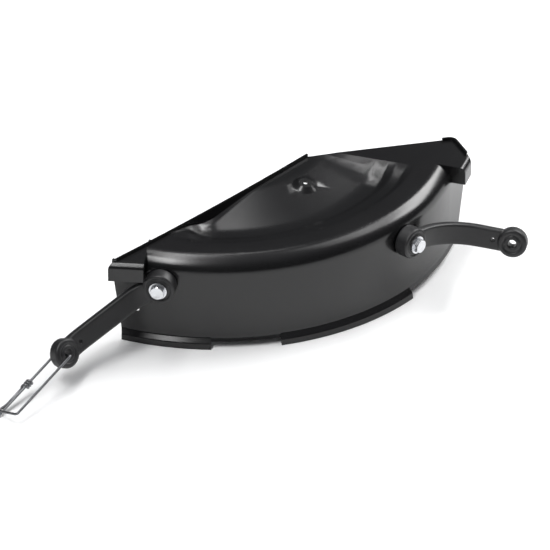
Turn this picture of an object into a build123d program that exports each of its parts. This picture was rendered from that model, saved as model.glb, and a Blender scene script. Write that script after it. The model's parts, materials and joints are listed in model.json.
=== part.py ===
from build123d import *
import math
import os

# Mulch cover for a mower deck: a stamped steel shell with two rubber latch straps.
# Sizes are millimetres and degrees. The working axis is the axis of the curved skirt.
# Angles about it run from the front (-Y) towards +X. Z is zero on the floor.

# Stamped shell
SHEET = 2.0
SKIRT_RADIUS = 243.0
COVER_HEIGHT = 99.5
SKIRT_EDGE_HEIGHT = 7.0
RIM_START = -51.5
ARC_START = -40.0
ARC_END = 38.0
LEFT_RUN = 83.0
LEFT_RUN_CUT = 73.0
LEFT_CUT_DROP = 20.0
RIGHT_RUN = 52.0
RIGHT_RUN_CUT = 29.0
RIGHT_CUT_DROP = 44.0
EDGE_FLARE = 1.5
EDGE_FLARE_HEIGHT = 4.0
EDGE_FLARE_ROUND = 5.0

# Rounded rim and the dished top, as steps inward from the skirt face and down from the crest
RIM_ROUND = 18.0
RIM_WIDTH = 31.0
DISH_LAP = 2.0
DISH_LAND = 5.0
LEDGE_STEP = 8.0
LEDGE_DROP = 6.5
LEDGE_WIDTH = 11.0
LEDGE_FALL = 1.0
TROUGH_STEP = 8.0
TROUGH_DROP = 5.5
TROUGH_WIDTH = 14.0
REAR_STEP = 54.0
REAR_RISE = 11.5
REAR_REACH = 52.0
REAR_CROWN = 2.5
SMALL_ROUND = 5.0
TROUGH_ROUND = 8.0
REAR_ROUND = 50.0
DISH_START = -36.0
DISH_END = 28.0
FLAT_START = -47.0
FLAT_SHARE = 0.01
FADE_STEPS = 3

# Rear edges of the top: the corner, the line each edge follows away from it, and the right end
REAR_CORNER_X = 48.0
REAR_CORNER_Y = -86.5
REAR_LEFT_SLOPE = 0.203
REAR_RIGHT_SLOPE = 0.404
REAR_LEFT_BOW = 3.0
REAR_TIP_X = -240.0
RIGHT_END_X = 189.5
RIGHT_END_LEAN = 0.196
RIGHT_END_ROUND = 8.0
REAR_LIP_HEIGHT = 3.0
END_LIP_REACH = 12.0

# End ears: where the rim stops, the overhang past the skirt and the turned-down lip
RIGHT_RIM_RUN = 9.0
LEFT_EAR_RUN = 86.5
RIGHT_EAR_RUN = 66.0
EAR_OVERHANG = 14.0
EAR_LIP_HEIGHT = 19.0
EAR_BEND = 6.0
SKIRT_TUCK = 12.0

# Flared lower lips
LEFT_LIP_END = -36.0
MIDDLE_LIP_START = -19.6
MIDDLE_LIP_END = 17.3
LIP_OUT = 4.5
LIP_ROOT = 9.0
LIP_SLOPE_HEIGHT = 5.0
LIP_FLARE = 0.8
LIP_ROUND = 3.0

# Boss in the top, with a drain hole, and the plain hole near the left end
BOSS_RADIUS = 127.0
BOSS_ANGLE = 8.6
BOSS_BASE = 12.5
BOSS_TOP = 7.0
BOSS_HEIGHT = 4.0
DRAIN_HOLE = 4.5
SIDE_HOLE = 7.0
SIDE_HOLE_ANGLE = -53.9
SIDE_HOLE_DROP = 63.0

# Latch pivots
PIVOT_DROP = 27.0
LEFT_PIVOT_ANGLE = -47.5
RIGHT_PIVOT_ANGLE = 15.2
BOLT = 8.0
BOLT_HOLE = 9.0
BOLT_FLATS = 13.0
BOLT_HEAD = 6.5
BOLT_FLANGE = 18.0
BOLT_FLANGE_HEIGHT = 1.8
BOLT_END = 2.5
NUT_FLATS = 13.0
NUT_HEIGHT = 8.0
NUT_COLLAR = 2.0
WASHER_DIAMETER = 20.0
WASHER_HEIGHT = 1.6
SLEEVE_DIAMETER = 12.0
SLEEVE_PLAY = 0.4
SEAT_GAP = 0.3
RUNNING_GAP = 0.05
END_PLAY = 0.4
THREAD_GAP = 0.05

# Rubber straps
NEAR_EYE = 32.0
NEAR_EYE_THICKNESS = 15.0
FAR_EYE = 30.0
FAR_EYE_THICKNESS = 13.0
FAR_EYE_BORE = 8.0
WEB_WIDTH = 22.5
WEB_THICKNESS = 9.0
WEB_CHAMFER = 1.6
EYE_CHAMFER = 1.6
STRAP_HOLE = 4.0
STRAP_HOLE_BACK = 20.0

# How each rubber strap hangs: straight legs, the outward turns between them and their radii
LEFT_STRAP_DROOP = 26.0
LEFT_STRAP_LEGS = (20.0, 86.0, 20.0)
LEFT_STRAP_TURNS = (50.0, 10.0)
LEFT_STRAP_ROUNDS = (40.0, 60.0)
RIGHT_STRAP_DROOP = 12.0
RIGHT_STRAP_LEGS = (56.6, 68.6)
RIGHT_STRAP_TURNS = (60.0,)
RIGHT_STRAP_ROUNDS = (60.0,)

# Wire hook
WIRE = 2.6
HOOK_LENGTH = 88.0
HOOK_SIDE_GAP = 3.0
HOOK_BEND = 3.0
HOOK_TAIL = 4.0
HOOK_RETURN = 38.0
HOOK_TURN = 5.0
HOOK_WRAP_LENGTH = 5.0
WIRE_GAP = 0.3

# Worked-out sizes
SKIRT_INSIDE = SKIRT_RADIUS - SHEET
CREST_INSIDE = SKIRT_RADIUS - RIM_WIDTH
EAR_FACE = SKIRT_RADIUS + EAR_OVERHANG
LEFT_RIM_RUN = SKIRT_RADIUS * math.sin(math.radians(ARC_START - RIM_START))
SKIRT_START = ARC_START - math.degrees(math.asin(LEFT_RUN / SKIRT_RADIUS))
RIGHT_END_Y = REAR_CORNER_Y - (RIGHT_END_X - REAR_CORNER_X) * REAR_RIGHT_SLOPE
PIVOT_HEIGHT = COVER_HEIGHT - PIVOT_DROP
SLEEVE_LENGTH = NEAR_EYE_THICKNESS + 2 * END_PLAY
HEAD_SEAT = SEAT_GAP + SLEEVE_LENGTH
NUT_FACE = SHEET + SEAT_GAP + WASHER_HEIGHT
EYE_MIDDLE = SEAT_GAP + END_PLAY + NEAR_EYE_THICKNESS / 2
BIG = 3 * SKIRT_RADIUS


def around(angle):
    """Turns local X to the outward direction at an angle, and local Y along the skirt."""
    return Rot(0, 0, angle - 90)


def sheet_face(points, radii):
    """Face of one sheet thickness under a path of (radius, height) points with rounded corners."""
    path = FilletPolyline(*points, radius=radii)
    return Plane.XZ * Face(path.offset_2d(SHEET, side=Side.LEFT, closed=True))


def lip_face(points, radii):
    """Face from the middle of the sheet up to the level top of the turned-up lips."""
    low = Pos(0, -SHEET / 2) * FilletPolyline(*points, radius=radii)
    level = COVER_HEIGHT + REAR_LIP_HEIGHT
    start = low @ 0
    end = low @ 1
    rest = Polyline(end, (end.X, level), (start.X, level), start)
    return Plane.XZ * make_face(low.edges() + rest.edges())


def filled_face(points, radii):
    """Face between a path and the corner below its inner end."""
    path = FilletPolyline(*points, radius=radii)
    start = path @ 0
    end = path @ 1
    sides = Polyline(end, (end.X, start.Y), start)
    return Plane.XZ * make_face(path.edges() + sides.edges())


def rim_path():
    """Skirt from its flared lower edge, over the rounded rim, to the inner end of the crest."""
    points = [
        (SKIRT_RADIUS + EDGE_FLARE, SKIRT_EDGE_HEIGHT),
        (SKIRT_RADIUS, SKIRT_EDGE_HEIGHT + EDGE_FLARE_HEIGHT),
        (SKIRT_RADIUS, COVER_HEIGHT),
        (CREST_INSIDE, COVER_HEIGHT),
    ]
    return points, [EDGE_FLARE_ROUND, RIM_ROUND]


def dish_path(share):
    """Dished top from the crest to the rear, with its depth as a share of the full one."""
    steps = [
        (-DISH_LAP, 0),
        (DISH_LAP + DISH_LAND, 0),
        (LEDGE_STEP, LEDGE_DROP),
        (LEDGE_WIDTH, LEDGE_FALL),
        (TROUGH_STEP, TROUGH_DROP),
        (TROUGH_WIDTH, 0),
        (REAR_STEP, -REAR_RISE),
        (REAR_REACH, -REAR_CROWN),
    ]
    points = []
    inward = 0
    drop = 0
    for step, fall in steps:
        inward += step
        drop += fall * share
        points.append((CREST_INSIDE - inward, COVER_HEIGHT - drop))
    radii = [SMALL_ROUND, SMALL_ROUND, TROUGH_ROUND, TROUGH_ROUND, REAR_ROUND, REAR_ROUND]
    return points, radii


def ear_path():
    """Flat ear with its turned-down lip, which hangs clear of the skirt."""
    points = [
        (EAR_FACE, COVER_HEIGHT - EAR_LIP_HEIGHT),
        (EAR_FACE, COVER_HEIGHT),
        (CREST_INSIDE, COVER_HEIGHT),
    ]
    return points, [EAR_BEND]


def under_rim_path(inset):
    """Underside of the rim, from the level of the ear's lip, drawn in by an inset."""
    points = [
        (SKIRT_INSIDE - inset, COVER_HEIGHT - EAR_LIP_HEIGHT),
        (SKIRT_INSIDE - inset, COVER_HEIGHT - SHEET),
        (CREST_INSIDE - inset, COVER_HEIGHT - SHEET),
    ]
    return points, [RIM_ROUND - SHEET]


def lower_lip_path():
    """Lower lip that flares out from the skirt and turns down to the floor."""
    shoulder = SKIRT_EDGE_HEIGHT + EDGE_FLARE_HEIGHT
    points = [
        (SKIRT_RADIUS + LIP_OUT + LIP_FLARE, 0),
        (SKIRT_RADIUS + LIP_OUT, shoulder - LIP_SLOPE_HEIGHT),
        (SKIRT_RADIUS, shoulder),
        (SKIRT_RADIUS, shoulder + LIP_ROOT),
    ]
    return points, [LIP_ROUND, LIP_ROUND]


def turned(face, start, end):
    """Section turned about the axis from one angle to another."""
    return revolve(around(start) * face, Axis.Z, revolution_arc=end - start)


def run(face, angle, start, end):
    """Section drawn along the straight run that leaves the arc at an angle."""
    return around(angle) * Pos(0, start, 0) * extrude(face, amount=end - start, dir=(0, 1, 0))


def rim_and_skirt():
    """Rounded rim and skirt round the arc, and the skirt's straight run at the right."""
    rim = sheet_face(*rim_path())
    body = turned(rim, SKIRT_START, ARC_END) + run(rim, ARC_END, 0, RIGHT_RUN) + lower_lips()
    body -= rim_end(ARC_START, -LEFT_RIM_RUN) + rim_end(ARC_END, RIGHT_RIM_RUN)
    body -= slanted_end(ARC_START, -LEFT_RUN, -LEFT_RUN_CUT, LEFT_CUT_DROP)
    return body - slanted_end(ARC_END, RIGHT_RUN, RIGHT_RUN_CUT, RIGHT_CUT_DROP)


def rim_end(angle, start):
    """Cutter that stops the rim where an ear begins and leaves the skirt tucked under the ear."""
    corner = (start, COVER_HEIGHT - SKIRT_TUCK)
    far = (start + math.copysign(BIG, start), COVER_HEIGHT + SHEET)
    outline = Polyline(corner, (far[0], corner[1]), far, (start, far[1]), close=True)
    return around(angle) * extrude(Plane.YZ * make_face(outline), amount=BIG)


def slanted_end(angle, run_top, run_bottom, drop):
    """Cutter that trims an end of the skirt, from a drop below the crest down and inward."""
    top = COVER_HEIGHT - drop
    far = run_top + math.copysign(BIG, run_top)
    outline = Polyline(
        (run_top, top),
        (run_bottom, SKIRT_EDGE_HEIGHT),
        (run_bottom, -top),
        (far, -top),
        (far, top),
        close=True,
    )
    return around(angle) * extrude(Plane.YZ * make_face(outline), amount=BIG)


def faded(face_along, start, end):
    """Dish that fades out to the flat from one angle to another."""
    sections = []
    for step in range(FADE_STEPS + 1):
        share = (1 + math.cos(math.pi * step / FADE_STEPS)) / 2
        angle = start + (end - start) * step / FADE_STEPS
        sections.append(around(angle) * face_along(*dish_path(max(share, FLAT_SHARE))))
    return loft(sections, ruled=True)


def dished_top(face_along):
    """Dish turned about the axis and faded out to the flat at both ends."""
    top = turned(face_along(*dish_path(1)), DISH_START, DISH_END)
    return top + faded(face_along, DISH_START, FLAT_START) + faded(face_along, DISH_END, ARC_END)


def flat_face(outer, low, high):
    """Flat section from the inner end of the dish out to a radius, between two heights."""
    inner = dish_path(1)[0][-1][0]
    return Plane.XZ * make_face(Polyline((inner, low), (outer, low), (outer, high), (inner, high), close=True))


def flat_runs(face, left_angle):
    """Flat section drawn straight on at both ends of the dish."""
    return run(face, left_angle, 0, -LEFT_EAR_RUN) + run(face, ARC_END, 0, RIGHT_EAR_RUN)


def ear(angle, start, end):
    """Ear past the end of the rim, with a web that closes the step between the two sections."""
    web_end = start + math.copysign(SHEET, end - start)
    inset = SKIRT_INSIDE - math.sqrt(SKIRT_INSIDE**2 - web_end**2)
    web = filled_face(*ear_path()) - filled_face(*under_rim_path(inset))
    body = run(sheet_face(*ear_path()), angle, start, end)
    return body + run(web, angle, start, web_end)


def lower_lips():
    """Two flared lips: one along the left end, one at the middle of the arc."""
    lip = sheet_face(*lower_lip_path())
    return turned(lip, SKIRT_START, LEFT_LIP_END) + turned(lip, MIDDLE_LIP_START, MIDDLE_LIP_END)


def rear_left_y(x):
    """Height in plan of the left rear edge's straight line."""
    return REAR_CORNER_Y + (x - REAR_CORNER_X) * REAR_LEFT_SLOPE


def rear_left_edge():
    """Left rear edge in plan: a shallow arc, hollow towards the deck."""
    middle = (REAR_TIP_X + REAR_CORNER_X) / 2
    return ThreePointArc(
        (REAR_TIP_X, rear_left_y(REAR_TIP_X)),
        (middle, rear_left_y(middle) - REAR_LEFT_BOW),
        (REAR_CORNER_X, REAR_CORNER_Y),
    )


def right_end_edge(reach):
    """Edge in plan from a reach before the rounded right corner to in front of the cover."""
    start = (RIGHT_END_X - reach, RIGHT_END_Y + reach * REAR_RIGHT_SLOPE)
    front = (RIGHT_END_X - (RIGHT_END_Y + BIG) * RIGHT_END_LEAN, -BIG)
    return FilletPolyline(start, (RIGHT_END_X, RIGHT_END_Y), front, radius=RIGHT_END_ROUND)


def in_front():
    """Tall solid that covers all that lies inside the rear edges and the right end."""
    left = rear_left_edge()
    right = right_end_edge(RIGHT_END_X - REAR_CORNER_X)
    rest = Polyline(right @ 1, (-BIG, -BIG), (-BIG, rear_left_y(-BIG)), left @ 0)
    return extrude(make_face(left.edges() + right.edges() + rest.edges()), amount=BIG)


def edge_strip(edge):
    """Tall strip of one sheet thickness along the inside of an edge in plan."""
    strip = Face(edge.offset_2d(SHEET, side=Side.RIGHT, closed=True))
    return extrude(strip, amount=BIG, dir=(0, 0, 1))


def turned_up_lips():
    """Narrow lips turned up along the left rear edge and the right end, following the top."""
    flat = flat_face(EAR_FACE - EAR_BEND, COVER_HEIGHT - SHEET / 2, COVER_HEIGHT + REAR_LIP_HEIGHT)
    block = dished_top(lip_face) + flat_runs(flat, ARC_START)
    return block & (edge_strip(rear_left_edge()) + edge_strip(right_end_edge(END_LIP_REACH)))


def boss_place():
    """Centre of the boss, square to the slope that rises from the trough to the rear."""
    low, high = dish_path(1)[0][-3:-1]
    slope = (high[1] - low[1]) / (low[0] - high[0])
    height = low[1] + slope * (low[0] - BOSS_RADIUS)
    return around(BOSS_ANGLE) * Pos(BOSS_RADIUS, 0, height) * Rot(0, math.degrees(math.atan(slope)), 0)


def with_boss(shell):
    """Raises the hollow boss in the top and pierces its drain hole."""
    up = (Align.CENTER, Align.CENTER, Align.MIN)
    slope = (BOSS_BASE - BOSS_TOP) / BOSS_HEIGHT
    root = Cone(BOSS_BASE + slope * SHEET / 2, BOSS_TOP, BOSS_HEIGHT + SHEET / 2, align=up)
    hollow = Cone(BOSS_BASE, BOSS_TOP - slope * SHEET / 2, BOSS_HEIGHT + SHEET / 2, align=up)
    shell += boss_place() * Pos(0, 0, -SHEET / 2) * root
    shell -= boss_place() * Pos(0, 0, -3 * SHEET / 2) * hollow
    return shell - boss_place() * Cylinder(DRAIN_HOLE / 2, 4 * BOSS_HEIGHT)


def left_pivot():
    """Place of the left pivot, with local X outward from the skirt face."""
    return around(LEFT_PIVOT_ANGLE) * Pos(SKIRT_RADIUS, 0, PIVOT_HEIGHT)


def right_pivot():
    """Place of the right pivot, with local X outward from the skirt face."""
    return around(RIGHT_PIVOT_ANGLE) * Pos(SKIRT_RADIUS, 0, PIVOT_HEIGHT)


def cross_hole(place, diameter):
    """Cutter for a hole through the skirt."""
    return place * Rot(0, 90, 0) * Cylinder(diameter / 2, 4 * EAR_OVERHANG)


def cover_shell():
    """The whole stamping."""
    top = dished_top(sheet_face)
    top += flat_runs(flat_face(CREST_INSIDE + DISH_LAP, COVER_HEIGHT - SHEET, COVER_HEIGHT), FLAT_START)
    top += ear(ARC_START, -LEFT_RIM_RUN, -LEFT_EAR_RUN)
    top += ear(ARC_END, RIGHT_RIM_RUN, RIGHT_EAR_RUN)
    shell = with_boss(rim_and_skirt() + (top & in_front()))
    shell += turned_up_lips()
    side_hole = around(SIDE_HOLE_ANGLE) * Pos(SKIRT_RADIUS, 0, COVER_HEIGHT - SIDE_HOLE_DROP)
    shell -= cross_hole(side_hole, SIDE_HOLE)
    shell -= cross_hole(left_pivot(), BOLT_HOLE)
    return shell - cross_hole(right_pivot(), BOLT_HOLE)


def along_x(solid, start):
    """Stands a solid built up from Z zero on a point of the X axis, pointing outward."""
    return Pos(start, 0, 0) * Rot(0, 90, 0) * solid


def tube(outside, inside, length):
    """Plain tube that stands on Z zero."""
    ring = Circle(outside / 2) - Circle(inside / 2)
    return extrude(ring, amount=length)


def pivot_sleeve():
    """Spacer tube that the rubber eye turns on."""
    return along_x(tube(SLEEVE_DIAMETER, BOLT + 2 * SLEEVE_PLAY, SLEEVE_LENGTH), SEAT_GAP)


def pivot_bolt():
    """Flange bolt: hexagon head with chamfered corners, flange and shank."""
    head = extrude(RegularPolygon(BOLT_FLATS / 2, 6, major_radius=False), amount=BOLT_HEAD)
    up = (Align.CENTER, Align.CENTER, Align.MIN)
    head &= Cone(BOLT_FLATS / 2 + BOLT_HEAD, BOLT_FLATS / 2, BOLT_HEAD, align=up)
    flange = extrude(Circle(BOLT_FLANGE / 2), amount=BOLT_FLANGE_HEIGHT)
    shank = extrude(Circle(BOLT / 2), amount=-(HEAD_SEAT + NUT_FACE + NUT_HEIGHT + BOLT_END))
    return along_x(head + flange + shank, HEAD_SEAT)


def backing_washer():
    """Flat washer inside the skirt."""
    return along_x(tube(WASHER_DIAMETER, BOLT + 2 * SLEEVE_PLAY, WASHER_HEIGHT), -NUT_FACE)


def lock_nut():
    """Lock nut: a hexagon with a round collar."""
    body = extrude(RegularPolygon(NUT_FLATS / 2, 6, major_radius=False), amount=NUT_HEIGHT - NUT_COLLAR)
    body += extrude(Circle(NUT_FLATS / 2 - SHEET / 2), amount=NUT_HEIGHT)
    body -= Cylinder(BOLT / 2 + THREAD_GAP, 3 * NUT_HEIGHT)
    return Pos(-NUT_FACE, 0, 0) * Rot(0, -90, 0) * body


def strap_path(legs, turns, rounds):
    """Middle line of a strap, along X and outward in Y, with its bends."""
    x = 0
    out = EYE_MIDDLE
    heading = 0
    points = [(x, out)]
    for leg, turn in zip(legs, turns + (0,)):
        x += leg * math.cos(math.radians(heading))
        out += leg * math.sin(math.radians(heading))
        heading += turn
        points.append((x, out))
    return FilletPolyline(*points, radius=list(rounds))


def far_eye_place(hang):
    """Centre of the far eye in the strap's frame: X along the last leg, Z along the bore."""
    end = strap_path(*hang) @ 1
    return Pos(end.X, 0, end.Y) * Rot(0, -sum(hang[1]), 0)


def eye(diameter, thickness):
    """Round eye with softened rims, centred on its bore."""
    disc = Cylinder(diameter / 2, thickness)
    return chamfer(disc.edges().filter_by(GeomType.CIRCLE), EYE_CHAMFER)


def rubber_strap(hang):
    """Moulded strap in its own frame, with the near eye's bore on Z."""
    outline = Plane.XZ * Face(strap_path(*hang).offset_2d(WEB_THICKNESS / 2, side=Side.BOTH))
    web = extrude(outline, amount=WEB_WIDTH / 2, both=True)
    sides = web.faces().filter_by(Axis.Y)
    web = chamfer(sides.edges(), WEB_CHAMFER)
    near = Pos(0, 0, EYE_MIDDLE)
    far = far_eye_place(hang)
    strap = web + near * eye(NEAR_EYE, NEAR_EYE_THICKNESS) + far * eye(FAR_EYE, FAR_EYE_THICKNESS)
    strap -= near * Cylinder(SLEEVE_DIAMETER / 2 + RUNNING_GAP, 2 * NEAR_EYE_THICKNESS)
    strap -= far * Cylinder(FAR_EYE_BORE / 2, 2 * FAR_EYE_THICKNESS)
    return strap - far * Pos(-STRAP_HOLE_BACK, 0, 0) * Cylinder(STRAP_HOLE / 2, 2 * WEB_THICKNESS)


def strap_turn(side, droop):
    """Turns the strap's frame so that it leaves a pivot sideways and droops from the level."""
    angle = math.radians(droop)
    along = (0, side * math.cos(angle), -math.sin(angle))
    return Plane(origin=(0, 0, 0), x_dir=along, z_dir=(1, 0, 0)).location


def wire_hook(hang):
    """Bent wire hook: through the eye, down both sides, across, and wrapped back on one leg."""
    half = FAR_EYE_THICKNESS / 2 + HOOK_SIDE_GAP + HOOK_BEND
    inner = WIRE + WIRE_GAP - half
    path = FilletPolyline(
        (HOOK_LENGTH + HOOK_TAIL, -half),
        (0, -half),
        (0, half),
        (HOOK_LENGTH, half),
        (HOOK_LENGTH, inner),
        (HOOK_LENGTH - HOOK_RETURN, inner),
        radius=HOOK_BEND,
    )
    hook = sweep(Plane(origin=path @ 0, z_dir=path % 0) * Circle(WIRE / 2), path=path)
    hook += Pos(HOOK_LENGTH - HOOK_RETURN, -half, 0) * Rot(0, 90, 0) * Cylinder(1.5 * WIRE, HOOK_WRAP_LENGTH)
    seat = FAR_EYE_BORE / 2 - WIRE / 2 - SEAT_GAP
    return far_eye_place(hang) * Rot(0, 0, HOOK_TURN) * Pos(seat, 0, 0) * Rot(90, 0, 0) * hook


def latch(side, place, strap):
    """All nodes of one latch, by name, at its pivot."""
    return {
        side + "_pivot_bolt": place * pivot_bolt(),
        side + "_pivot_sleeve": place * pivot_sleeve(),
        side + "_backing_washer": place * backing_washer(),
        side + "_lock_nut": place * lock_nut(),
        side + "_strap": place * strap,
    }


def build():
    """Every node by name, with the origin under the middle of the whole part."""
    left_hang = (LEFT_STRAP_LEGS, LEFT_STRAP_TURNS, LEFT_STRAP_ROUNDS)
    right_hang = (RIGHT_STRAP_LEGS, RIGHT_STRAP_TURNS, RIGHT_STRAP_ROUNDS)
    left_turn = strap_turn(-1, LEFT_STRAP_DROOP)
    right_turn = strap_turn(1, RIGHT_STRAP_DROOP)
    nodes = {"cover_shell": cover_shell()}
    nodes.update(latch("left", left_pivot(), left_turn * rubber_strap(left_hang)))
    nodes.update(latch("right", right_pivot(), right_turn * rubber_strap(right_hang)))
    nodes["left_wire_hook"] = left_pivot() * left_turn * wire_hook(left_hang)
    box = Compound(list(nodes.values())).bounding_box()
    middle = Pos(-box.center().X, -box.center().Y, -box.min.Z)
    return {name: middle * solid for name, solid in nodes.items()}


os.makedirs("parts", exist_ok=True)
for name, solid in build().items():
    export_step(solid, "parts/" + name + ".step")
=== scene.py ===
import json
import logging
import math
from dataclasses import dataclass, field
from enum import Enum

import bpy
from mathutils import Matrix, Vector


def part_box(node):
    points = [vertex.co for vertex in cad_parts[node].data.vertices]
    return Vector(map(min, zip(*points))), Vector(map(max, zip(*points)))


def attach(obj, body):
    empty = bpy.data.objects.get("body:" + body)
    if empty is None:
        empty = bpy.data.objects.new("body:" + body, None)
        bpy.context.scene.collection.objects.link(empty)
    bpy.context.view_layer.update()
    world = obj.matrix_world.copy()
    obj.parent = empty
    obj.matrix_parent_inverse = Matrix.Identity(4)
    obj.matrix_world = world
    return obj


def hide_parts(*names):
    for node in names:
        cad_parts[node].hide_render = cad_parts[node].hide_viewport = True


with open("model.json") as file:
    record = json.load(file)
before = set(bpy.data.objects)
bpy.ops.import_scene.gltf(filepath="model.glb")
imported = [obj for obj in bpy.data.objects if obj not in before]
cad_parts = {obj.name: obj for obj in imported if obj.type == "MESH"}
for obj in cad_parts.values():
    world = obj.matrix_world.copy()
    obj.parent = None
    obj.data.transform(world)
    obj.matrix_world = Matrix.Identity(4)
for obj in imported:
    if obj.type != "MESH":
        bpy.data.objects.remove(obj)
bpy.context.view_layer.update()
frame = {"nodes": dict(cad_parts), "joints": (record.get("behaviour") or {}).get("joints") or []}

log = logging.getLogger("mulch_cover")

MM = 0.001
WELD_GAP_MM = 0.01
ROUND_STEPS = 4


class Side(Enum):
    """Which end of the cover a latch sits on, seen from the front."""

    LEFT = "left"
    RIGHT = "right"


def srgb(hex_colour: str) -> tuple[float, float, float, float]:
    """Turns an sRGB hex colour to linear.

    Args:
        hex_colour: Six hex digits with a leading hash.

    Returns:
        Linear red, green, blue and an alpha of one.
    """
    channels = [int(hex_colour[i:i + 2], 16) / 255 for i in (1, 3, 5)]
    linear = [c / 12.92 if c <= 0.04045 else ((c + 0.055) / 1.055) ** 2.4 for c in channels]
    return (*linear, 1.0)


def add_node(tree: bpy.types.NodeTree, kind: str, inputs: dict | None = None,
             **settings: object) -> bpy.types.Node:
    """Adds a node with its settings, input values and links.

    Args:
        tree: The node tree to add to.
        kind: Blender's type name of the node.
        inputs: Socket name or index to a value, or to another node's output socket.
        settings: Attributes of the node itself.

    Returns:
        The new node.
    """
    node = tree.nodes.new(kind)
    for name, value in settings.items():
        setattr(node, name, value)
    for key, value in (inputs or {}).items():
        if isinstance(value, bpy.types.NodeSocket):
            tree.links.new(value, node.inputs[key])
        else:
            node.inputs[key].default_value = value
    return node


def new_material(name: str) -> tuple[bpy.types.Material, bpy.types.NodeTree, bpy.types.Node]:
    """Makes an empty node material.

    Args:
        name: The material's name.

    Returns:
        The material, its tree, and its output node.
    """
    material = bpy.data.materials.new(name)
    material.use_nodes = True
    tree = material.node_tree
    tree.nodes.clear()
    return material, tree, add_node(tree, "ShaderNodeOutputMaterial")


# Sprayed on as powder, melted and cured. The eye gets a deep black with clear, soft-edged reflections,
# and a faint orange peel that wavers along each highlight.
@dataclass(frozen=True)
class PowderCoatedSteel:
    """Black powder coat on stamped sheet steel."""

    name: str = "powder_coated_sheet_steel"
    colour: str = "#111112"
    worn_colour: str = "#161617"
    roughness: float = 0.23
    roughness_spread: float = 0.04
    ior: float = 1.5
    peel_mm: float = 5.0
    peel_depth_mm: float = 0.012
    peel_detail: float = 1.5
    cloud_mm: float = 60.0
    cloud_detail: float = 3.0

    def material(self) -> bpy.types.Material:
        """Builds the material: soft peel in the bump, slow clouds in colour and gloss.

        Returns:
            The material.
        """
        material, tree, output = new_material(self.name)
        place = add_node(tree, "ShaderNodeTexCoord").outputs["Object"]
        cloud = add_node(
            tree, "ShaderNodeTexNoise",
            {"Vector": place, "Scale": 1 / (self.cloud_mm * MM), "Detail": self.cloud_detail},
        )
        peel = add_node(
            tree, "ShaderNodeTexNoise",
            {"Vector": place, "Scale": 1 / (self.peel_mm * MM), "Detail": self.peel_detail},
        )
        colour = add_node(
            tree, "ShaderNodeMix",
            {"Factor": cloud.outputs["Fac"], "A": srgb(self.colour), "B": srgb(self.worn_colour)},
            data_type="RGBA",
        )
        gloss = add_node(
            tree, "ShaderNodeMapRange",
            {"Value": cloud.outputs["Fac"], "To Min": self.roughness - self.roughness_spread,
             "To Max": self.roughness + self.roughness_spread},
        )
        bump = add_node(
            tree, "ShaderNodeBump",
            {"Height": peel.outputs["Fac"], "Strength": 1.0, "Distance": self.peel_depth_mm * MM},
        )
        shader = add_node(
            tree, "ShaderNodeBsdfPrincipled",
            {"Base Color": colour.outputs["Result"], "Roughness": gloss.outputs["Result"], "IOR": self.ior,
             "Normal": bump.outputs["Normal"]},
        )
        tree.links.new(shader.outputs["BSDF"], output.inputs["Surface"])
        return material


# Pressed in a tool whose face was spark eroded. The eye gets a dull satin black without clear
# reflections, with a fine grain and a slightly paler bloom in patches.
@dataclass(frozen=True)
class MouldedRubber:
    """Black EPDM rubber, compression moulded."""

    name: str = "moulded_epdm_rubber"
    colour: str = "#121213"
    bloom_colour: str = "#1c1c1e"
    roughness: float = 0.46
    ior: float = 1.52
    # The real grain is too fine to show, so it is drawn coarser.
    grain_mm: float = 0.9
    grain_depth_mm: float = 0.03
    grain_detail: float = 2.0
    bloom_mm: float = 14.0
    bloom_detail: float = 4.0

    def material(self) -> bpy.types.Material:
        """Builds the material: grain in the bump, bloom in the colour.

        Returns:
            The material.
        """
        material, tree, output = new_material(self.name)
        place = add_node(tree, "ShaderNodeTexCoord").outputs["Object"]
        bloom = add_node(
            tree, "ShaderNodeTexNoise",
            {"Vector": place, "Scale": 1 / (self.bloom_mm * MM), "Detail": self.bloom_detail},
        )
        grain = add_node(
            tree, "ShaderNodeTexNoise",
            {"Vector": place, "Scale": 1 / (self.grain_mm * MM), "Detail": self.grain_detail},
        )
        colour = add_node(
            tree, "ShaderNodeMix",
            {"Factor": bloom.outputs["Fac"], "A": srgb(self.colour), "B": srgb(self.bloom_colour)},
            data_type="RGBA",
        )
        bump = add_node(
            tree, "ShaderNodeBump",
            {"Height": grain.outputs["Fac"], "Strength": 1.0, "Distance": self.grain_depth_mm * MM},
        )
        shader = add_node(
            tree, "ShaderNodeBsdfPrincipled",
            {"Base Color": colour.outputs["Result"], "Roughness": self.roughness, "IOR": self.ior,
             "Normal": bump.outputs["Normal"]},
        )
        tree.links.new(shader.outputs["BSDF"], output.inputs["Surface"])
        return material


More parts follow.
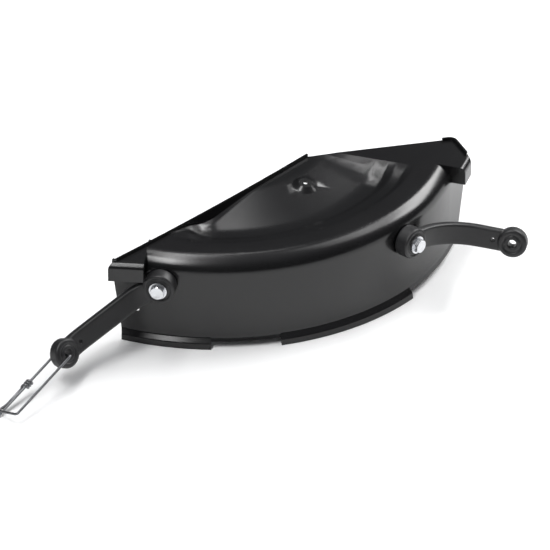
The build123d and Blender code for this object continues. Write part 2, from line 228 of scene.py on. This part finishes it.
# Plated in a turning barrel. The eye gets a pale, bluish metal with bright but blurred reflections,
# and small clouds where the shine is duller.
@dataclass(frozen=True)
class ZincPlatedSteel:
    """Bright zinc plate on cold-headed steel."""

    name: str = "bright_zinc_plated_steel"
    colour: str = "#dcdddf"
    cloud_colour: str = "#c4c6ca"
    roughness: float = 0.26
    roughness_spread: float = 0.07
    cloud_mm: float = 4.0
    cloud_detail: float = 3.0
    # The real tumbling marks are too fine to show, so they are drawn coarser.
    tumble_mm: float = 0.8
    tumble_depth_mm: float = 0.006
    tumble_detail: float = 2.0

    def material(self) -> bpy.types.Material:
        """Builds the material: tumbling marks in the bump, clouds in colour and gloss.

        Returns:
            The material.
        """
        material, tree, output = new_material(self.name)
        place = add_node(tree, "ShaderNodeTexCoord").outputs["Object"]
        cloud = add_node(
            tree, "ShaderNodeTexNoise",
            {"Vector": place, "Scale": 1 / (self.cloud_mm * MM), "Detail": self.cloud_detail},
        )
        tumble = add_node(
            tree, "ShaderNodeTexNoise",
            {"Vector": place, "Scale": 1 / (self.tumble_mm * MM), "Detail": self.tumble_detail},
        )
        colour = add_node(
            tree, "ShaderNodeMix",
            {"Factor": cloud.outputs["Fac"], "A": srgb(self.colour), "B": srgb(self.cloud_colour)},
            data_type="RGBA",
        )
        gloss = add_node(
            tree, "ShaderNodeMapRange",
            {"Value": cloud.outputs["Fac"], "To Min": self.roughness - self.roughness_spread,
             "To Max": self.roughness + self.roughness_spread},
        )
        bump = add_node(
            tree, "ShaderNodeBump",
            {"Height": tumble.outputs["Fac"], "Strength": 1.0, "Distance": self.tumble_depth_mm * MM},
        )
        shader = add_node(
            tree, "ShaderNodeBsdfPrincipled",
            {"Base Color": colour.outputs["Result"], "Metallic": 1.0, "Roughness": gloss.outputs["Result"],
             "Normal": bump.outputs["Normal"]},
        )
        tree.links.new(shader.outputs["BSDF"], output.inputs["Surface"])
        return material


# Pulled through a die in lubricant. The eye gets a mid-grey metal with one soft bright line along
# each leg, and darker stains that the lubricant left.
@dataclass(frozen=True)
class DrawnSpringWire:
    """Bright spring steel wire, cold drawn."""

    name: str = "drawn_spring_steel_wire"
    colour: str = "#8d8e91"
    stain_colour: str = "#5f6062"
    roughness: float = 0.32
    stain_mm: float = 6.0
    stain_detail: float = 4.0

    def material(self) -> bpy.types.Material:
        """Builds the material: stains in the colour.

        Returns:
            The material.
        """
        material, tree, output = new_material(self.name)
        place = add_node(tree, "ShaderNodeTexCoord").outputs["Object"]
        stain = add_node(
            tree, "ShaderNodeTexNoise",
            {"Vector": place, "Scale": 1 / (self.stain_mm * MM), "Detail": self.stain_detail},
        )
        colour = add_node(
            tree, "ShaderNodeMix",
            {"Factor": stain.outputs["Fac"], "A": srgb(self.colour), "B": srgb(self.stain_colour)},
            data_type="RGBA",
        )
        shader = add_node(
            tree, "ShaderNodeBsdfPrincipled",
            {"Base Color": colour.outputs["Result"], "Metallic": 1.0, "Roughness": self.roughness},
        )
        tree.links.new(shader.outputs["BSDF"], output.inputs["Surface"])
        return material


def dress_node(node: str, material: bpy.types.Material,
               smooth_deg: float = 35.0) -> bpy.types.Object:
    """Gives a frame node a finish and smooth shading across its gentle edges.

    Args:
        node: The node's name.
        material: The finish.
        smooth_deg: Edges that turn by less than this are shaded smooth.

    Returns:
        The node's object.
    """
    obj = frame["nodes"][node]
    obj.data.materials.clear()
    obj.data.materials.append(material)
    weld = obj.modifiers.new("weld", "WELD")
    weld.merge_threshold = WELD_GAP_MM * MM
    obj.data.polygons.foreach_set("use_smooth", [True] * len(obj.data.polygons))
    split = obj.modifiers.new("edges", "EDGE_SPLIT")
    split.split_angle = math.radians(smooth_deg)
    log.info("dressed %s", node)
    return obj


def rounded_route(corners: list[Vector], radii: list[float], step_deg: float) -> list[Vector]:
    """Rounds the corners of a route of straight runs.

    Args:
        corners: The route's ends and corners.
        radii: The bend radius at each corner between the ends.
        step_deg: How far each step turns in a bend.

    Returns:
        Points along the straight runs and the bends.
    """
    route = [corners[0]]
    for before, corner, after, radius in zip(corners, corners[1:], corners[2:], radii):
        back = (before - corner).normalized()
        ahead = (after - corner).normalized()
        half = back.angle(ahead) / 2
        centre = corner + (back + ahead).normalized() * (radius / math.sin(half))
        first = (corner + back * (radius / math.tan(half)) - centre).normalized()
        last = (corner + ahead * (radius / math.tan(half)) - centre).normalized()
        steps = max(2, round(math.degrees(math.pi - 2 * half) / step_deg))
        route += [centre + first.slerp(last, i / steps) * radius for i in range(steps + 1)]
    return route + [corners[-1]]


def swept_mesh(name: str, route: list[Vector], section: list[tuple[float, float]], side: Vector,
               scales: list[float] | None = None) -> bpy.types.Mesh:
    """Sweeps a closed section along a route and caps both ends.

    Args:
        name: The mesh's name.
        route: Points along the middle line.
        section: The section's points, as offsets along the side direction and across it.
        side: The side direction at the first point.
        scales: The section's scale at each point, if it changes.

    Returns:
        The closed mesh.
    """
    count = len(section)
    points = []
    for i, place in enumerate(route):
        ahead = (route[min(i + 1, len(route) - 1)] - route[max(i - 1, 0)]).normalized()
        side = (side - ahead * side.dot(ahead)).normalized()
        across = ahead.cross(side)
        scale = scales[i] if scales else 1.0
        points += [place + (side * a + across * b) * scale for a, b in section]
    faces = [tuple(range(count))[::-1], tuple(range(len(points) - count, len(points)))]
    for ring in range(len(route) - 1):
        low = ring * count
        for i in range(count):
            j = (i + 1) % count
            faces.append((low + i, low + j, low + count + j, low + count + i))
    mesh = bpy.data.meshes.new(name)
    mesh.from_pydata(points, [], faces)
    return mesh


def turned_ring_mesh(name: str, profile: list[tuple[float, float]], steps: int = 72) -> bpy.types.Mesh:
    """Turns a closed profile about Z into a ring.

    Args:
        name: The mesh's name.
        profile: The section's points, as radius and height.
        steps: How many steps the turn has.

    Returns:
        The closed mesh.
    """
    count = len(profile)
    points = []
    faces = []
    for step in range(steps):
        angle = math.tau * step / steps
        points += [(r * math.cos(angle), r * math.sin(angle), h) for r, h in profile]
        for i in range(count):
            j = (i + 1) % count
            low, high = step * count, (step + 1) % steps * count
            faces.append((low + i, high + i, high + j, low + j))
    mesh = bpy.data.meshes.new(name)
    mesh.from_pydata(points, [], faces)
    return mesh


def scratch_object(mesh: bpy.types.Mesh, place: Matrix | None = None) -> bpy.types.Object:
    """Links a mesh as a helper object.

    Args:
        mesh: The helper's mesh.
        place: Where it stands, if not at the origin.

    Returns:
        The helper.
    """
    helper = bpy.data.objects.new(mesh.name, mesh)
    bpy.context.scene.collection.objects.link(helper)
    helper.matrix_world = place or Matrix.Identity(4)
    return helper


def finished_mesh(helper: bpy.types.Object) -> bpy.types.Mesh:
    """Gives a copy of a helper's mesh with its modifiers applied.

    Args:
        helper: The helper.

    Returns:
        The new mesh, in the helper's own frame.
    """
    bpy.context.view_layer.update()
    graph = bpy.context.evaluated_depsgraph_get()
    return bpy.data.meshes.new_from_object(helper.evaluated_get(graph), depsgraph=graph)


def circle_section(radius: float, count: int) -> list[tuple[float, float]]:
    """Gives the points of a round section.

    Args:
        radius: The section's radius.
        count: How many points it has.

    Returns:
        The points, in order.
    """
    turns = [math.tau * i / count for i in range(count)]
    return [(radius * math.cos(turn), radius * math.sin(turn)) for turn in turns]


def joint_place(name: str) -> tuple[Vector, Vector]:
    """Gives a joint's point and axis from the frame.

    Args:
        name: The joint's name.

    Returns:
        The point in metres and the unit axis.
    """
    joint = next(j for j in frame["joints"] if j["name"] == name)
    return Vector(joint["pos_m"]), Vector(joint["axis"]).normalized()


@dataclass
class CoverShell:
    """The stamped cover."""

    finish: PowderCoatedSteel = field(default_factory=PowderCoatedSteel)

    def dress(self) -> None:
        """Gives the stamping its coat."""
        dress_node("cover_shell", self.finish.material())


@dataclass(frozen=True)
class StrapEye:
    """Sizes of one moulded eye: a thick ring with a rounded rim and a ring groove in each face."""

    diameter_mm: float
    thickness_mm: float
    bore_mm: float
    groove_mm: tuple[float, float]
    groove_depth_mm: float = 1.0
    rim_round_mm: float = 2.0
    bore_chamfer_mm: float = 0.7

    def half_profile(self) -> list[tuple[float, float]]:
        """Gives the upper half of the ring's section.

        Returns:
            Radius and height of each point, from the bore out to the rim.
        """
        rim = self.diameter_mm / 2
        top = self.thickness_mm / 2
        bore = self.bore_mm / 2
        inner, outer = (d / 2 for d in self.groove_mm)
        low = top - self.groove_depth_mm
        slope = self.groove_depth_mm / 2
        points = [(bore, top - self.bore_chamfer_mm), (bore + self.bore_chamfer_mm, top)]
        points += [(inner, top), (inner + slope, low), (outer - slope, low), (outer, top)]
        for i in range(ROUND_STEPS + 1):
            turn = math.pi / 2 * i / ROUND_STEPS
            out = rim - self.rim_round_mm * (1 - math.sin(turn))
            points.append((out, top - self.rim_round_mm * (1 - math.cos(turn))))
        return points

    def mesh(self, name: str) -> bpy.types.Mesh:
        """Builds the ring about Z.

        Args:
            name: The mesh's name.

        Returns:
            The mesh, in metres.
        """
        upper = self.half_profile()
        lower = [(r, -h) for r, h in reversed(upper)]
        return turned_ring_mesh(name, [(r * MM, h * MM) for r, h in upper + lower])


@dataclass
class RubberStrap:
    """One moulded latch strap: an eye on the pivot, a bent web and an eye at the free end."""

    side: Side
    droop_deg: float
    legs_mm: tuple[float, ...]
    turns_deg: tuple[float, ...]
    rounds_mm: tuple[float, ...]
    eye_middle_mm: float = 8.2
    web_width_mm: float = 22.5
    web_thickness_mm: float = 9.0
    web_round_mm: float = 2.4
    near_eye: StrapEye = StrapEye(
        diameter_mm=32.0, thickness_mm=15.0, bore_mm=12.6, groove_mm=(20.5, 25.5)
    )
    far_eye: StrapEye = StrapEye(
        diameter_mm=30.0, thickness_mm=13.0, bore_mm=8.4, groove_mm=(15.5, 20.5), rim_round_mm=2.8
    )
    tie_hole_mm: float = 4.0
    tie_hole_back_mm: float = 20.0
    tie_hole_sides: int = 24
    eye_wall_mm: float = 2.0
    bend_step_deg: float = 3.0
    steps_per_run: int = 6
    voxel_mm: float = 0.6
    relax_rounds: int = 4
    relax_share: float = 0.5

    def frame_at_pivot(self) -> Matrix:
        """Gives the strap's own frame.

        Returns:
            X along the strap as it leaves the pivot, Z out of the skirt.
        """
        place, outward = joint_place(self.side.value + "_strap_pivot")
        sideways = Vector((-outward.y, outward.x, 0.0)) * (-1 if self.side is Side.LEFT else 1)
        droop = math.radians(self.droop_deg)
        along = sideways * math.cos(droop) - Vector((0.0, 0.0, math.sin(droop)))
        turn = Matrix((along, outward.cross(along), outward)).transposed()
        return Matrix.Translation(place) @ turn.to_4x4()

    def corners(self) -> list[Vector]:
        """Gives the ends and corners of the web's middle line.

        Returns:
            The points in metres, in the strap's own frame.
        """
        points = [Vector((0.0, 0.0, self.eye_middle_mm)) * MM]
        heading = 0.0
        for leg, turn in zip(self.legs_mm, self.turns_deg + (0.0,)):
            way = Vector((math.cos(math.radians(heading)), 0.0, math.sin(math.radians(heading))))
            points.append(points[-1] + way * leg * MM)
            heading += turn
        return points

    def far_eye_frame(self) -> Matrix:
        """Gives the free eye's place in the strap's own frame: X along the last leg, Z along the bore."""
        turn = Matrix.Rotation(-math.radians(sum(self.turns_deg)), 4, "Y")
        return Matrix.Translation(self.corners()[-1]) @ turn

    def web_section(self) -> list[tuple[float, float]]:
        """Gives the web's section: a flat bar with rounded corners.

        Returns:
            The points in metres, across the web and through it.
        """
        wide = (self.web_width_mm / 2 - self.web_round_mm) * MM
        thick = (self.web_thickness_mm / 2 - self.web_round_mm) * MM
        radius = self.web_round_mm * MM
        points = []
        for quarter, (a, b) in enumerate(((1, 1), (-1, 1), (-1, -1), (1, -1))):
            for i in range(ROUND_STEPS + 1):
                turn = math.pi / 2 * (quarter + i / ROUND_STEPS)
                points.append((a * wide + radius * math.cos(turn), b * thick + radius * math.sin(turn)))
        return points

    def web_mesh(self, name: str) -> bpy.types.Mesh:
        """Sweeps the web between the walls of the two eyes.

        Args:
            name: The mesh's name.

        Returns:
            The closed mesh, in the strap's own frame.
        """
        route = rounded_route(self.corners(), [r * MM for r in self.rounds_mm], self.bend_step_deg)
        near, far = route[0], route[-1]
        near_keep = (self.near_eye.bore_mm / 2 + self.eye_wall_mm) * MM
        far_keep = (self.far_eye.bore_mm / 2 + self.eye_wall_mm) * MM
        steps = self.steps_per_run
        fine = [a.lerp(b, i / steps) for a, b in zip(route, route[1:]) for i in range(steps)]
        kept = [p for p in fine if (p - near).length > near_keep and (p - far).length > far_keep]
        return swept_mesh(name, kept, self.web_section(), Vector((0.0, 1.0, 0.0)))

    def build(self) -> bpy.types.Object:
        """Moulds the eyes and the web into one skin with soft inner corners.

        Returns:
            The strap's piece.
        """
        name = self.side.value + "_rubber_strap"
        far = self.far_eye_frame()
        near = Matrix.Translation(self.corners()[0])
        depths = (-self.web_thickness_mm, self.web_thickness_mm)
        hole = [Vector((-self.tie_hole_back_mm, 0.0, depth)) * MM for depth in depths]
        hole_section = circle_section(self.tie_hole_mm / 2 * MM, self.tie_hole_sides)
        punch = swept_mesh("tie_hole", hole, hole_section, Vector((1.0, 0.0, 0.0)))
        helpers = [
            scratch_object(self.web_mesh(name)),
            scratch_object(punch, far),
            scratch_object(self.near_eye.mesh("near_eye"), near),
            scratch_object(self.far_eye.mesh("far_eye"), far),
        ]
        for helper, action in zip(helpers[1:], ("DIFFERENCE", "UNION", "UNION")):
            join = helpers[0].modifiers.new(helper.name, "BOOLEAN")
            join.operation = action
            join.solver = "EXACT"
            join.object = helper
        skin = helpers[0].modifiers.new("skin", "REMESH")
        skin.mode = "VOXEL"
        skin.voxel_size = self.voxel_mm * MM
        relax = helpers[0].modifiers.new("relax", "SMOOTH")
        relax.factor = self.relax_share
        relax.iterations = self.relax_rounds
        mesh = finished_mesh(helpers[0])
        for helper in helpers:
            bpy.data.objects.remove(helper)
        mesh.transform(self.frame_at_pivot())
        return place_piece(name, mesh)

    def dress(self, strap: bpy.types.Object, rubber: bpy.types.Material) -> None:
        """Gives the strap its rubber and sets it on its body.

        Args:
            strap: The strap's piece.
            rubber: The finish.
        """
        strap.data.materials.append(rubber)
        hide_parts(self.side.value + "_strap")
        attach(strap, self.side.value + "_latch")
        log.info("moulded %s", strap.name)


def place_piece(name: str, mesh: bpy.types.Mesh) -> bpy.types.Object:
    """Links a finished mesh as a smooth-shaded piece.

    Args:
        name: The piece's name.
        mesh: Its mesh, in metres in the frame.

    Returns:
        The piece.
    """
    mesh.name = name
    mesh.polygons.foreach_set("use_smooth", [True] * len(mesh.polygons))
    piece = bpy.data.objects.new(name, mesh)
    bpy.context.scene.collection.objects.link(piece)
    return piece


@dataclass
class PivotFasteners:
    """The bolt, sleeve, washer and lock nut of one pivot."""

    side: Side

    def dress(self, zinc: bpy.types.Material) -> None:
        """Gives the fasteners their plating.

        Args:
            zinc: The finish.
        """
        for piece in ("pivot_bolt", "pivot_sleeve", "backing_washer", "lock_nut"):
            dress_node(self.side.value + "_" + piece, zinc)


@dataclass
class WireHook:
    """The wire hook in the left strap's free eye: two legs, a crossbar, and the end wound on one leg."""

    strap: RubberStrap
    finish: DrawnSpringWire = field(default_factory=DrawnSpringWire)
    wire_mm: float = 2.6
    length_mm: float = 88.0
    half_width_mm: float = 12.5
    bend_mm: float = 3.0
    tail_mm: float = 3.5
    return_mm: float = 36.0
    return_bend_mm: float = 18.0
    return_slope_share: float = 1 / 3
    turn_deg: float = 5.0
    seat_mm: float = 2.4
    # The winds' pitch and reach and the lift where the wire crosses itself are in thicknesses of wire.
    winds: int = 3
    wind_pitch: float = 1.15
    wind_reach: float = 1.06
    wind_lead_mm: float = 3.0
    wind_steps: int = 18
    crossing_lift: float = 1.15
    bend_step_deg: float = 12.0
    wire_sides: int = 14
    # The cut ends narrow to this share of the wire over this share of its radius.
    end_share: float = 0.6
    end_reach: float = 1 / 3

    def frame_at_eye(self) -> Matrix:
        """Gives the hook's own frame.

        Returns:
            X along the legs, Y along the eye's bore.
        """
        turn = Matrix.Rotation(math.radians(self.turn_deg), 4, "Z")
        seat = Matrix.Translation((self.seat_mm * MM, 0.0, 0.0))
        lie = Matrix.Rotation(math.pi / 2, 4, "X")
        return self.strap.frame_at_pivot() @ self.strap.far_eye_frame() @ turn @ seat @ lie

    def route(self) -> list[Vector]:
        """Gives the wire's middle line, from the tail round the crossbars to the last wind.

        Returns:
            The points in millimetres, in the hook's own frame.
        """
        half, wire, end = self.half_width_mm, self.wire_mm, self.length_mm
        beside = -half - self.wind_reach * wire
        start = end - self.return_mm
        corners = [
            (end + self.tail_mm, -half, 0.0),
            (0.0, -half, 0.0),
            (0.0, half, 0.0),
            (end, half, 0.0),
            (end, beside, self.crossing_lift * wire),
            (end - self.return_mm * self.return_slope_share, beside, 0.0),
            (start, beside, 0.0),
        ]
        bends = [self.bend_mm] * 4 + [self.return_bend_mm]
        route = rounded_route([Vector(corner) for corner in corners], bends, self.bend_step_deg)
        reach = self.wind_reach * wire
        for i in range(1, self.wind_steps * self.winds + 1):
            turn = math.tau * i / self.wind_steps
            lead = self.wind_lead_mm * (1 - math.exp(-turn))
            x = start - lead - self.wind_pitch * wire * turn / math.tau
            route.append(Vector((x, -half - reach * math.cos(turn), reach * math.sin(turn))))
        return route

    def build(self) -> bpy.types.Object:
        """Bends the wire along its route, with its two cut ends rounded off.

        Returns:
            The hook's piece.
        """
        route = [point * MM for point in self.route()]
        radius = self.wire_mm / 2 * MM
        first = (route[0] - route[1]).normalized() * radius * self.end_reach
        last = (route[-1] - route[-2]).normalized() * radius * self.end_reach
        scales = [self.end_share] + [1.0] * len(route) + [self.end_share]
        route = [route[0] + first] + route + [route[-1] + last]
        section = circle_section(radius, self.wire_sides)
        mesh = swept_mesh("left_hook_wire", route, section, Vector((0.0, 0.0, 1.0)), scales)
        mesh.transform(self.frame_at_eye())
        return place_piece("left_hook_wire", mesh)

    def dress(self, hook: bpy.types.Object) -> None:
        """Gives the wire its finish and sets it on its body.

        Args:
            hook: The hook's piece.
        """
        hook.data.materials.append(self.finish.material())
        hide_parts("left_wire_hook")
        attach(hook, "hook")
        log.info("bent %s", hook.name)


@dataclass(frozen=True)
class Softbox:
    """One soft lamp: where it hangs, how it lies, its size and how bright its face is, in metres."""

    name: str
    direction: tuple[float, float, float]
    along: tuple[float, float, float]
    size: tuple[float, float]
    radiance: float
    distance: float = 1.6


LEFT_RUN = (0.72, 0.69, 0.0)
RIGHT_RUN = (0.12, -0.85, -0.1)
SOFTBOXES = (
    # The bright line along the left of the rim, and its softer side
    Softbox("overhead_strip", (-0.23, 0.07, 1.0), LEFT_RUN, (1.9, 0.14), 14.0, distance=1.65),
    Softbox("left_softbox", (-0.55, -0.18, 0.81), LEFT_RUN, (0.9, 0.22), 13.0),
    # The highlight at the right of the rim, which the two scrims fade out towards the middle
    Softbox("right_softbox", (0.78, 0.05, 0.62), RIGHT_RUN, (1.15, 0.5), 11.0),
    Softbox("right_scrim", (0.56, -0.08, 0.82), RIGHT_RUN, (0.9, 0.28), 4.0),
    Softbox("middle_scrim", (0.41, -0.1, 0.9), RIGHT_RUN, (0.8, 0.28), 1.8),
    # The small sheen on the rear slope of the dish
    Softbox("rear_scrim", (0.29, 0.46, 0.83), (0.5, 0.6, 0.0), (0.24, 0.2), 4.0),
)


@dataclass
class Studio:
    """Pale floor, soft lamps and the camera, in metres where a name gives no unit."""

    azimuth_deg: float = -34.5
    elevation_deg: float = 32.5
    distance: float = 9.0
    sensor_mm: float = 36.0
    image_px: float = 550.0
    mm_per_px: float = 1.0
    aim_px: tuple[float, float] = (285.0, 300.0)
    aim_from_shell_mm: tuple[float, float, float] = (197.7, 84.3, -2.2)
    floor_colour: str = "#ffffff"
    floor_size: float = 12.0
    world_colour: str = "#f4f6fa"
    wall_level: float = 0.06
    ceiling_level: float = 0.4
    ceiling_power: float = 3.0

    def axes(self) -> tuple[Vector, Vector, Vector]:
        """Gives the camera's directions.

        Returns:
            Its right, its up and its way back from the cover.
        """
        a = math.radians(self.azimuth_deg)
        e = math.radians(self.elevation_deg)
        back = Vector((math.sin(a) * math.cos(e), -math.cos(a) * math.cos(e), math.sin(e)))
        right = Vector((math.cos(a), math.sin(a), 0.0))
        return right, back.cross(right), back

    def centre(self) -> Vector:
        """Gives the point that the middle of the image looks at.

        Returns:
            The point in metres, in the frame.
        """
        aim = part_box("cover_shell")[0] + Vector(self.aim_from_shell_mm) * MM
        right, up, _ = self.axes()
        half = self.image_px / 2
        scale = self.mm_per_px * MM
        return aim - right * (self.aim_px[0] - half) * scale + up * (self.aim_px[1] - half) * scale

    def add_camera(self) -> None:
        """Places a long lens on the photograph's line of sight."""
        data = bpy.data.cameras.new("camera")
        data.sensor_width = self.sensor_mm
        data.lens = self.sensor_mm * self.distance / (self.image_px * self.mm_per_px * MM)
        camera = bpy.data.objects.new("camera", data)
        bpy.context.scene.collection.objects.link(camera)
        _, _, back = self.axes()
        camera.location = self.centre() + back * self.distance
        camera.rotation_mode = "QUATERNION"
        camera.rotation_quaternion = (-back).to_track_quat("-Z", "Y")
        bpy.context.scene.camera = camera

    def add_floor(self) -> None:
        """Lays the pale matt floor."""
        half = self.floor_size / 2
        mesh = bpy.data.meshes.new("floor")
        corners = [(-half, -half, 0), (half, -half, 0), (half, half, 0), (-half, half, 0)]
        mesh.from_pydata(corners, [], [(0, 1, 2, 3)])
        material, tree, output = new_material("matt_white_paper_sweep")
        shader = add_node(tree, "ShaderNodeBsdfDiffuse", {"Color": srgb(self.floor_colour)})
        tree.links.new(shader.outputs["BSDF"], output.inputs["Surface"])
        mesh.materials.append(material)
        floor = bpy.data.objects.new("floor", mesh)
        bpy.context.scene.collection.objects.link(floor)

    def add_lamp(self, softbox: Softbox) -> None:
        """Hangs a softbox that faces the cover.

        Args:
            softbox: Its place, size in metres and brightness.
        """
        data = bpy.data.lights.new(softbox.name, "AREA")
        data.shape = "RECTANGLE"
        data.size, data.size_y = softbox.size
        data.energy = softbox.radiance * math.pi * data.size * data.size_y
        lamp = bpy.data.objects.new(softbox.name, data)
        bpy.context.scene.collection.objects.link(lamp)
        way = Vector(softbox.direction).normalized()
        across = way.cross(Vector(softbox.along)).normalized()
        turn = Matrix((across.cross(way), across, way)).transposed()
        lamp.matrix_world = Matrix.Translation(self.centre() + way * softbox.distance) @ turn.to_4x4()

    def add_world(self) -> None:
        """Sets the dim room around the table, brighter towards its ceiling."""
        world = bpy.data.worlds.new("studio")
        world.use_nodes = True
        tree = world.node_tree
        tree.nodes.clear()
        way = add_node(tree, "ShaderNodeTexCoord").outputs["Generated"]
        height = add_node(tree, "ShaderNodeSeparateXYZ", {"Vector": way}).outputs["Z"]
        height = add_node(tree, "ShaderNodeMath", {0: height, 1: 0.0}, operation="MAXIMUM").outputs["Value"]
        rise = add_node(tree, "ShaderNodeMath", {0: height, 1: self.ceiling_power}, operation="POWER")
        level = add_node(
            tree, "ShaderNodeMapRange",
            {"Value": rise.outputs["Value"], "To Min": self.wall_level, "To Max": self.ceiling_level},
        )
        light = add_node(
            tree, "ShaderNodeBackground",
            {"Color": srgb(self.world_colour), "Strength": level.outputs["Result"]},
        )
        output = add_node(tree, "ShaderNodeOutputWorld")
        tree.links.new(light.outputs["Background"], output.inputs["Surface"])
        bpy.context.scene.world = world

    def build(self) -> None:
        """Sets up the whole studio."""
        self.add_camera()
        self.add_floor()
        self.add_world()
        for softbox in SOFTBOXES:
            self.add_lamp(softbox)
        bpy.context.scene.view_settings.view_transform = "Standard"


def main() -> None:
    """Builds and dresses every sub-assembly, then the studio."""
    logging.basicConfig(level=logging.INFO, format="%(name)s: %(message)s")
    rubber = MouldedRubber().material()
    zinc = ZincPlatedSteel().material()
    CoverShell().dress()
    left = RubberStrap(
        side=Side.LEFT, droop_deg=26.0, legs_mm=(20.0, 86.0, 20.0), turns_deg=(50.0, 10.0),
        rounds_mm=(40.0, 60.0),
    )
    right = RubberStrap(
        side=Side.RIGHT, droop_deg=12.0, legs_mm=(56.6, 68.6), turns_deg=(60.0,), rounds_mm=(60.0,)
    )
    for strap in (left, right):
        strap.dress(strap.build(), rubber)
        PivotFasteners(strap.side).dress(zinc)
    hook = WireHook(left)
    hook.dress(hook.build())
    Studio().build()


if __name__ == "__main__":
    main()
